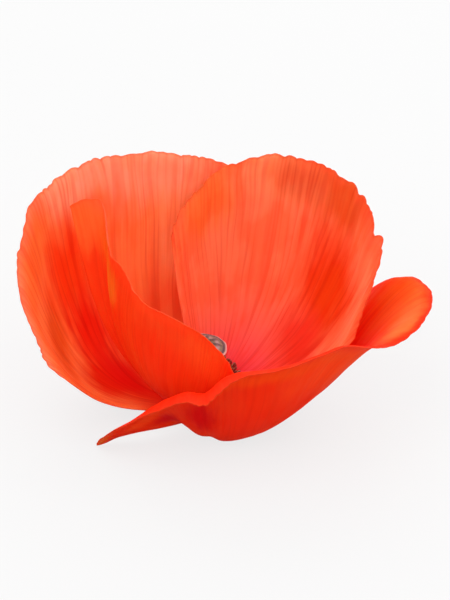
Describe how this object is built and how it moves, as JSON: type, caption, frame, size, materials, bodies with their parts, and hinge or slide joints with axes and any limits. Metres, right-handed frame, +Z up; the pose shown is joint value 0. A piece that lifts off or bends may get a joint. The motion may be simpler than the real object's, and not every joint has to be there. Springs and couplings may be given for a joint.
{
  "type": "poppy flower",
  "caption": "Open cupped poppy blossom, picked: broad overlapping waved petals around a rayed stigma disc and a ring of dark stamens, lying on its base.",
  "frame": {"origin": "on the ground under the middle of the blossom's bounding box", "axes": "+Z up along the flower's axis, -Y towards the low front petal, +X to the flared side"},
  "size_m": [0.0668, 0.0452, 0.0382],
  "materials": {
    "petal_outer": "thin silky petal, veined and crinkled",
    "petal_inner": "thin silky petal, veined and crinkled",
    "pistil": "waxy green ovary, velvety dark stigma rays",
    "stamens": "matt, powdery",
    "stalk": "matt green"
  },
  "bodies": {
    "root": {"petal_outer_back": "petal_outer", "petal_outer_front": "petal_outer", "petal_inner_left": "petal_inner", "petal_inner_right": "petal_inner", "pistil": "pistil", "stamens": "stamens", "receptacle": "stalk"}
  },
  "joints": []
}
